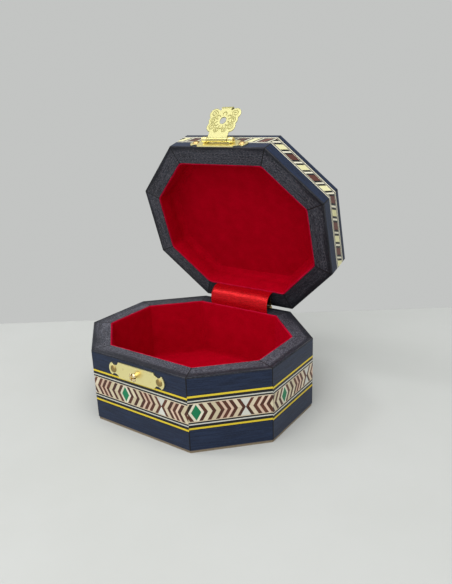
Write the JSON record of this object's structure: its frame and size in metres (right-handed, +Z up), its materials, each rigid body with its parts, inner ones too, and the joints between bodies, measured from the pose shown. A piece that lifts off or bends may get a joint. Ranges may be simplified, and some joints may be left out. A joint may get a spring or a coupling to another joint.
{
  "type": "inlaid wooden box",
  "caption": "Small stretched-octagon wooden box with marquetry bands, felt lining, hinged lid, ribbon stay and brass hasp.",
  "frame": {"origin": "centre of the flat underside, midway between the outer faces of the box", "axes": "+Z up, -Y towards the hasp side (front), +X to the right seen from the front"},
  "size_m": [0.12, 0.1224, 0.1565],
  "materials": {
    "stained_wood": "navy-black stained wood under gloss lacquer",
    "base_wood": "plain sanded wood",
    "marquetry": "lacquered mosaic of dyed and natural woods",
    "felt": "crimson felt",
    "brass": "bright pressed brass",
    "ribbon": "red satin ribbon"
  },
  "bodies": {
    "box": {"sole_board": "base_wood", "base_board": "base_wood", "floor_felt": "felt", "wall_felt": "felt", "wall_front": "stained_wood", "wall_front_right": "stained_wood", "wall_right": "stained_wood", "wall_back_right": "stained_wood", "wall_back": "stained_wood", "wall_back_left": "stained_wood", "wall_left": "stained_wood", "wall_front_left": "stained_wood", "inlay_front": "marquetry", "inlay_front_right": "marquetry", "inlay_right": "marquetry", "inlay_back_right": "marquetry", "inlay_back": "marquetry", "inlay_back_left": "marquetry", "inlay_left": "marquetry", "inlay_front_left": "marquetry", "hinge_leaf_box": "brass", "hinge_pin": "brass", "hinge_nails_box": "brass", "strike_plate": "brass", "snap_stud": "brass", "strike_nails": "brass", "stay_ribbon": "ribbon"},
    "lid": {"lid_board": "base_wood", "lid_wall_front": "stained_wood", "lid_wall_front_right": "stained_wood", "lid_wall_right": "stained_wood", "lid_wall_back_right": "stained_wood", "lid_wall_back": "stained_wood", "lid_wall_back_left": "stained_wood", "lid_wall_left": "stained_wood", "lid_wall_front_left": "stained_wood", "lid_inlay_front": "marquetry", "lid_inlay_front_right": "marquetry", "lid_inlay_right": "marquetry", "lid_inlay_back_right": "marquetry", "lid_inlay_back": "marquetry", "lid_inlay_back_left": "marquetry", "lid_inlay_left": "marquetry", "lid_inlay_front_left": "marquetry", "lid_top_inlay": "marquetry", "lid_wall_felt": "felt", "lid_top_felt": "felt", "hinge_leaf_lid": "brass", "hinge_nails_lid": "brass", "hasp_plate": "brass", "hasp_nails": "brass", "hasp_pin": "brass"},
    "hasp": {"hasp_leaf": "brass"}
  },
  "joints": [
    {"name": "lid_hinge", "type": "hinge", "parent": "box", "child": "lid", "pos_m": [0, 0.0512, 0.0394], "axis": [-1, 0, 0], "range_deg": [-73, 15], "deforming": ["stay_ribbon"]},
    {"name": "hasp_hinge", "type": "hinge", "parent": "lid", "child": "hasp", "pos_m": [0, 0.02592, 0.14006], "axis": [-1, 0, 0], "range_deg": [-143, 0]}
  ]
}
